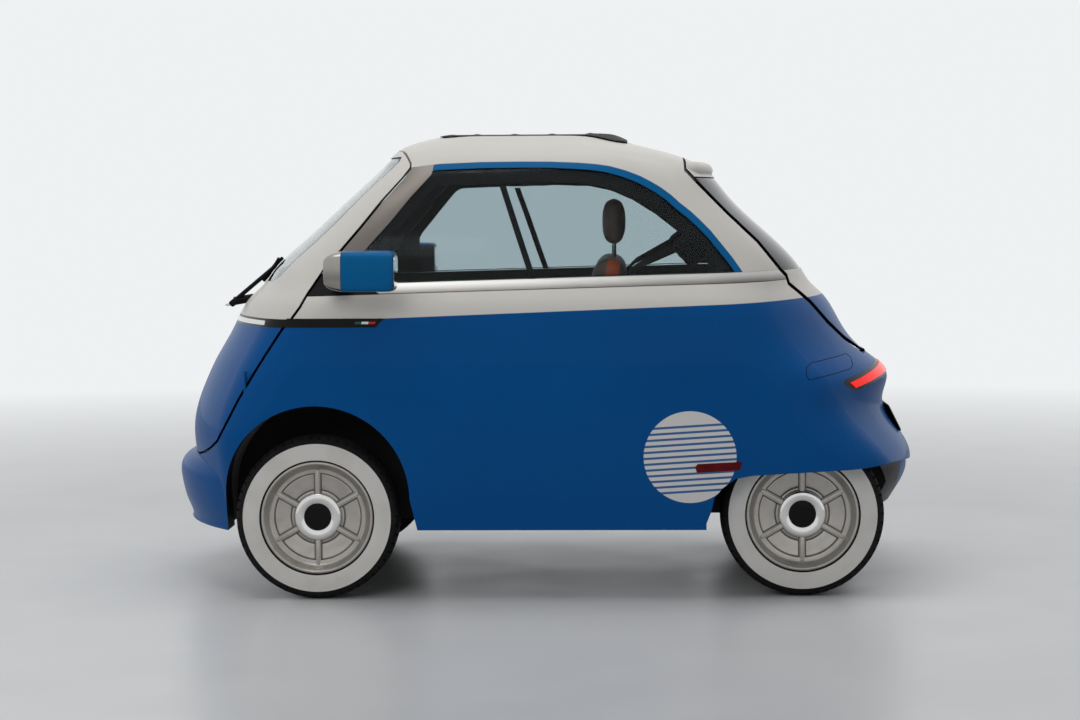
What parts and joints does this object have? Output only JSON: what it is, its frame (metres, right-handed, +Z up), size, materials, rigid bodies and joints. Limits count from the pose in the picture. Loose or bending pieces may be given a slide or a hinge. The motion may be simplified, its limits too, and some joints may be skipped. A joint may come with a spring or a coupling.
{
  "type": "microcar",
  "caption": "Small two-seat bubble car with a side-hinged front door, rear tailgate, exposed rear wheels, lamp and mirror pods and a canvas roof.",
  "frame": {"origin": "on the ground at the middle of the car's length and width", "axes": "+X to the rear, +Y to the car's right, +Z up"},
  "size_m": [2.5165, 1.81, 1.5034],
  "materials": {
    "blue_paint": "satin gloss",
    "pod_blue": "gloss",
    "white_paint": "gloss",
    "brushed_trim": "brushed",
    "rim_metal": "satin",
    "black_plastic": "matte",
    "gloss_black": "gloss",
    "glass": "clear",
    "plate": "satin",
    "tyre": "matte",
    "canvas": "woven",
    "leather": "satin",
    "frame_steel": "satin",
    "grip": "satin",
    "motor_metal": "cast",
    "floor": "carpet"
  },
  "bodies": {
    "body": {"backrest": "leather", "battery_block": "motor_metal", "belt_trim_left": "brushed_trim", "belt_trim_right": "brushed_trim", "canvas_roof": "canvas", "floor_pan": "floor", "front_bumper": "blue_paint", "front_subframe": "frame_steel", "headrest_left": "leather", "headrest_right": "leather", "mirror_foot_left": "black_plastic", "mirror_foot_right": "black_plastic", "motor_block": "motor_metal", "pillar_left": "brushed_trim", "pillar_right": "brushed_trim", "pod_ring_left": "brushed_trim", "pod_ring_right": "brushed_trim", "pod_shell_left": "pod_blue", "pod_shell_right": "pod_blue", "rear_axle": "frame_steel", "rear_floor": "floor", "rear_plate": "plate", "rear_valance": "black_plastic", "roof_panel": "white_paint", "seat_base": "frame_steel", "seat_cushion": "leather", "side_glass_left": "glass", "side_glass_right": "glass", "side_panel_left": "blue_paint", "side_panel_right": "blue_paint", "steering_column": "frame_steel", "tail_lamp_left": "gloss_black", "tail_lamp_right": "gloss_black", "tail_panel": "blue_paint", "upper_arm_left": "frame_steel", "upper_arm_right": "frame_steel", "upper_side_left": "white_paint", "upper_side_right": "white_paint", "window_band_left": "pod_blue", "window_band_right": "pod_blue"},
    "steering": {"steering_wheel": "grip"},
    "knuckle_left": {"knuckle_left": "frame_steel"},
    "knuckle_right": {"knuckle_right": "frame_steel"},
    "wheel_front_left": {"front_tyre_left": "tyre", "front_rim_left": "rim_metal"},
    "wheel_front_right": {"front_tyre_right": "tyre", "front_rim_right": "rim_metal"},
    "wheel_rear_left": {"rear_tyre_left": "tyre", "rear_rim_left": "rim_metal"},
    "wheel_rear_right": {"rear_tyre_right": "tyre", "rear_rim_right": "rim_metal"},
    "door": {"door_panel": "blue_paint", "door_frame": "white_paint", "windshield": "glass", "front_strip": "gloss_black"},
    "tailgate": {"tailgate_panel": "blue_paint", "tailgate_frame": "gloss_black", "rear_glass": "glass", "spoiler": "white_paint"}
  },
  "joints": [
    {"name": "steer_left", "type": "hinge", "parent": "body", "child": "knuckle_left", "pos_m": [-0.713, -0.5825, 0.265], "axis": [0, 0, 1], "range_deg": [-32, 32]},
    {"name": "steer_right", "type": "hinge", "parent": "body", "child": "knuckle_right", "pos_m": [-0.713, 0.5825, 0.265], "axis": [0, 0, 1], "range_deg": [-32, 32]},
    {"name": "spin_front_left", "type": "hinge", "parent": "knuckle_left", "child": "wheel_front_left", "pos_m": [-0.713, -0.6275, 0.265], "axis": [0, 1, 0], "continuous": true},
    {"name": "spin_front_right", "type": "hinge", "parent": "knuckle_right", "child": "wheel_front_right", "pos_m": [-0.713, 0.6275, 0.265], "axis": [0, 1, 0], "continuous": true},
    {"name": "spin_rear_left", "type": "hinge", "parent": "body", "child": "wheel_rear_left", "pos_m": [0.853, -0.5695, 0.265], "axis": [0, 1, 0], "continuous": true},
    {"name": "spin_rear_right", "type": "hinge", "parent": "body", "child": "wheel_rear_right", "pos_m": [0.853, 0.5695, 0.265], "axis": [0, 1, 0], "continuous": true},
    {"name": "steering_turn", "type": "hinge", "parent": "body", "child": "steering", "pos_m": [-0.43, -0.215, 0.868], "axis": [0.8387, 0, 0.5446], "range_deg": [-460, 460]},
    {"name": "front_door", "type": "hinge", "parent": "body", "child": "door", "pos_m": [-0.94, -0.695, 0.68], "axis": [0, 0, 1], "range_deg": [0, 75]},
    {"name": "tailgate_lift", "type": "hinge", "parent": "body", "child": "tailgate", "pos_m": [0.481, 0, 1.4225], "axis": [0, -1, 0], "range_deg": [0, 75]}
  ],
  "couplings": [
    {"joint": "steer_right", "follows": "steer_left", "ratio": 1},
    {"joint": "steering_turn", "follows": "steer_left", "ratio": 14}
  ]
}
